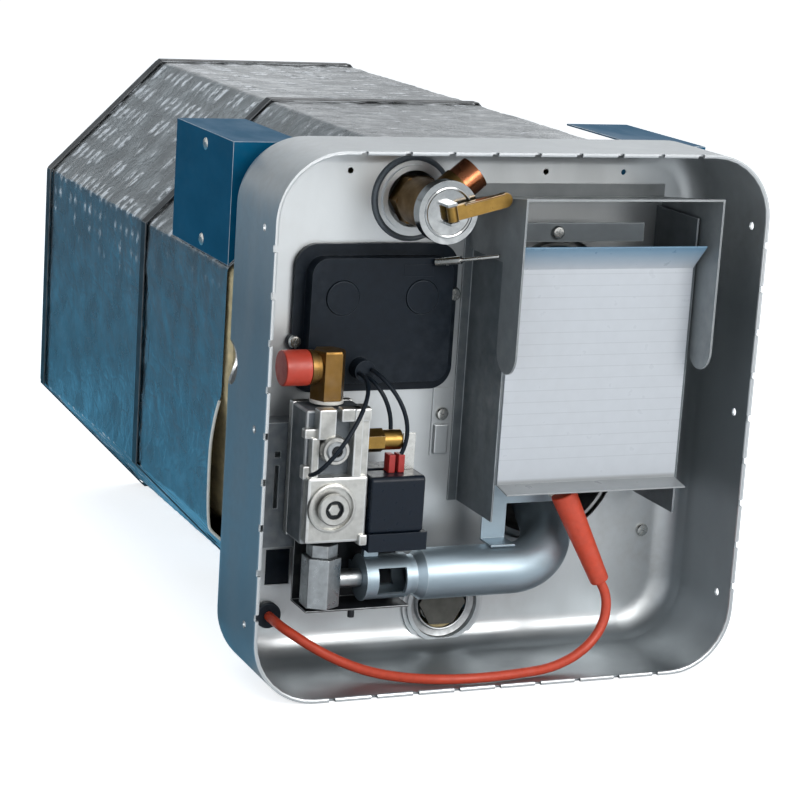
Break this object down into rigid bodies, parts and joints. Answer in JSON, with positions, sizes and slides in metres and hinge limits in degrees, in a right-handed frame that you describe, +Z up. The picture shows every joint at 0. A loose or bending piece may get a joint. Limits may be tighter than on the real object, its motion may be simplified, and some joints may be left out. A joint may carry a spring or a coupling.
{
  "type": "caravan water heater",
  "caption": "Gas storage water heater for a caravan: foil-clad tank behind an open square control housing with gas valve, tube burner, flue hood, relief valve and resets.",
  "frame": {"origin": "under the middle of the heater, on the surface that it stands on", "axes": "+X to the right seen from the front, +Y from the open front to the rear, +Z up"},
  "size_m": [0.312, 0.487, 0.32],
  "materials": {
    "pan_steel": "aluminised sheet, satin",
    "bracket_blue": "satin paint",
    "bright_steel": "zinc plated",
    "foil": "crinkled foil facing",
    "insulation": "fibre blanket",
    "strap_black": "black painted strap",
    "tank_steel": "enamelled steel",
    "flue_steel": "heat-tinted steel",
    "anode": "cast rod, steel plug",
    "dark_brass": "dull cast brass",
    "brass": "machined brass",
    "copper": "copper tube",
    "bonnet_chrome": "plated",
    "spring_steel": "spring wire",
    "black_rubber": "moulded rubber",
    "button_red": "moulded",
    "stat_plastic": "moulded",
    "cap_red": "soft moulded cap",
    "washer_white": "seal washer",
    "die_cast": "die-cast",
    "plug_steel": "turned",
    "coil_black": "moulded coil",
    "bracket_grey": "grey sheet",
    "plated_steel": "zinc plated hexagon",
    "burner_steel": "aluminised tube",
    "black_steel": "black painted",
    "ceramic": "glazed insulator",
    "lead_orange": "silicone rubber",
    "wire_black": "insulated wire",
    "flue_box_grey": "dark sheet",
    "hood_grey": "grey sheet",
    "label_white": "white coated plate"
  },
  "bodies": {
    "housing": {"control_housing": "pan_steel", "left_bracket": "bracket_blue", "right_bracket": "bracket_blue", "bracket_rivets": "bright_steel", "foil_jacket": "foil", "insulation": "insulation", "rear_strap": "strap_black", "middle_strap": "strap_black", "tank": "tank_steel", "flue_tube": "flue_steel", "anode_rod": "anode", "relief_body": "dark_brass", "relief_outlet": "copper", "relief_bonnet": "bonnet_chrome", "lever_pin": "bright_steel", "relief_spring": "spring_steel", "thermostat_cover": "black_rubber", "thermostat": "stat_plastic", "limit_switch": "stat_plastic", "cover_retainer": "bright_steel", "housing_screws": "bright_steel", "wiring_strip": "pan_steel", "inlet_cap": "cap_red", "inlet_elbow": "brass", "inlet_washer": "washer_white", "gas_valve_body": "die_cast", "regulator_cap": "die_cast", "pressure_tap_plug": "plug_steel", "front_coil": "coil_black", "rear_coil": "coil_black", "coil_yoke": "coil_black", "plunger_springs": "spring_steel", "gas_connector": "brass", "coil_terminals": "button_red", "terminal_blade": "bright_steel", "valve_bracket": "bracket_grey", "outlet_nut": "plug_steel", "outlet_elbow": "plated_steel", "burner_orifice": "plug_steel", "burner_tube": "burner_steel", "burner_bracket": "black_steel", "electrode": "ceramic", "electrode_bracket": "burner_steel", "ignition_boot": "lead_orange", "ignition_lead": "lead_orange", "lead_grommet": "black_rubber", "valve_wires": "wire_black", "flue_box": "flue_box_grey", "label_plate": "label_white", "flue_hood": "hood_grey"},
    "lever": {"relief_lever": "brass"},
    "stem": {"relief_stem": "bright_steel"},
    "left_reset": {"left_press_pad": "black_rubber", "left_reset_button": "button_red"},
    "right_reset": {"right_press_pad": "black_rubber", "right_reset_button": "button_red"},
    "front_armature": {"front_plunger": "bright_steel"},
    "rear_armature": {"rear_plunger": "bright_steel"},
    "shutter": {"air_shutter": "burner_steel"}
  },
  "joints": [
    {"name": "relief_lever_lift", "type": "hinge", "parent": "housing", "child": "lever", "pos_m": [-0.042, -0.2237, 0.28197], "axis": [0.2419, 0, -0.9703], "range_deg": [0, 75], "stiffness_Nm_per_rad": 0.15},
    {"name": "relief_stem_lift", "type": "slide", "parent": "housing", "child": "stem", "axis": [0, -1, 0], "range_m": [0, 0.003], "deforming": ["relief_spring"]},
    {"name": "left_reset_press", "type": "slide", "parent": "housing", "child": "left_reset", "axis": [0, 1, 0], "range_m": [0, 0.002], "stiffness_N_per_m": 400},
    {"name": "right_reset_press", "type": "slide", "parent": "housing", "child": "right_reset", "axis": [0, 1, 0], "range_m": [0, 0.002], "stiffness_N_per_m": 400},
    {"name": "front_armature_pull", "type": "slide", "parent": "housing", "child": "front_armature", "axis": [1, 0, 0], "range_m": [0, 0.0025], "stiffness_N_per_m": 300, "deforming": ["plunger_springs"]},
    {"name": "rear_armature_pull", "type": "slide", "parent": "housing", "child": "rear_armature", "axis": [1, 0, 0], "range_m": [0, 0.0025], "stiffness_N_per_m": 300, "deforming": ["plunger_springs"]},
    {"name": "air_shutter_turn", "type": "hinge", "parent": "housing", "child": "shutter", "pos_m": [-0.06, -0.2015, 0.061], "axis": [1, 0, 0], "range_deg": [0, 80]}
  ],
  "couplings": [
    {"joint": "relief_stem_lift", "follows": "relief_lever_lift", "m_per_rad": 0.00229}
  ]
}
